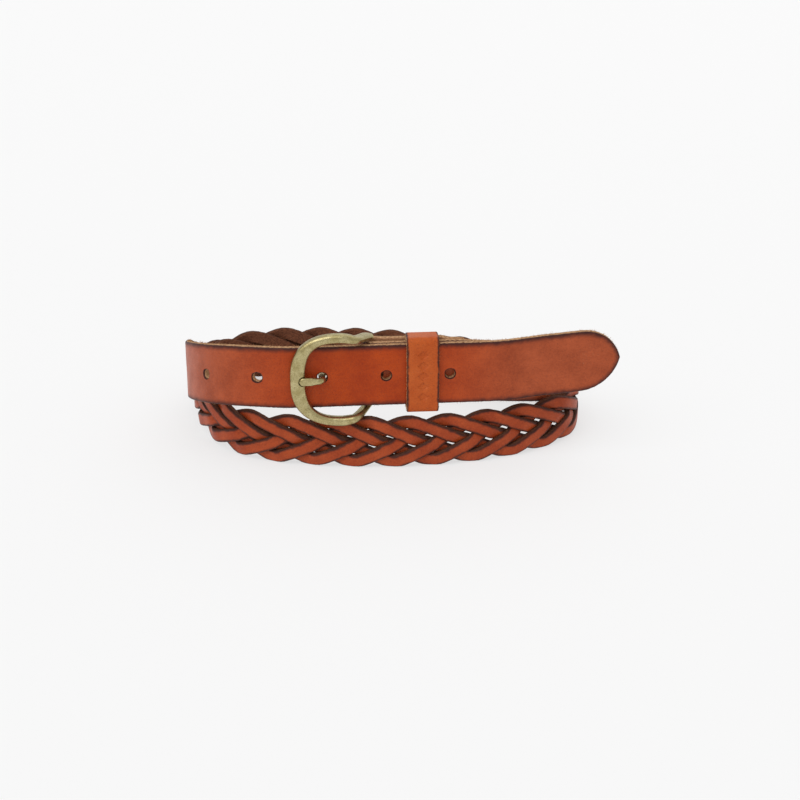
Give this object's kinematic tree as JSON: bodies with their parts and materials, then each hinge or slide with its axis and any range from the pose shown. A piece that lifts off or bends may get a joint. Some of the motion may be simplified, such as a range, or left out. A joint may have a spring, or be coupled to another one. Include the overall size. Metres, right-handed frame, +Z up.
{
  "type": "braided belt",
  "caption": "Braided leather belt with solid ends, horseshoe buckle, prong and keeper, buckled and coiled in two turns standing on its edge.",
  "frame": {"origin": "bottom centre of the belt's own box, on the surface the coil stands on", "axes": "+X to the right along the front row, towards the strap's tip, +Y to the back, +Z up"},
  "size_m": [0.2066, 0.1284, 0.0674],
  "materials": {
    "strap_leather": "satin vegetable-tanned, burnished dark edges",
    "strand_leather": "satin with dark dyed edges",
    "thread": "waxed",
    "aged_brass": "antique satin",
    "steel_wire": "plain"
  },
  "bodies": {
    "strap": {"tip_strap": "strap_leather", "braid_strand_1": "strand_leather", "braid_strand_2": "strand_leather", "braid_strand_3": "strand_leather", "braid_strand_4": "strand_leather", "braid_strand_5": "strand_leather", "buckle_strap": "strap_leather", "fold_stitches": "thread"},
    "frame": {"buckle_frame": "aged_brass"},
    "prong": {"prong": "aged_brass"},
    "keeper": {"keeper": "strap_leather", "keeper_staple": "steel_wire"},
    "tip": {"tip_end": "strap_leather"}
  },
  "joints": [
    {"name": "frame_rock", "type": "hinge", "parent": "strap", "child": "frame", "pos_m": [-0.01356, -0.04935, 0.0446], "axis": [0, 0, 1], "range_deg": [0, 2]},
    {"name": "prong_lift", "type": "hinge", "parent": "frame", "child": "prong", "pos_m": [-0.01356, -0.04935, 0.0446], "axis": [0, 0, 1], "range_deg": [0, 3]},
    {"name": "keeper_slide", "type": "slide", "parent": "strap", "child": "keeper", "axis": [1, 0, 0], "range_m": [-0.004, 0.001]},
    {"name": "tip_flex", "type": "hinge", "parent": "strap", "child": "tip", "pos_m": [0.03723, -0.05795, 0.0446], "axis": [0, 0, -1], "range_deg": [0, 40], "stiffness_Nm_per_rad": 0.1}
  ]
}
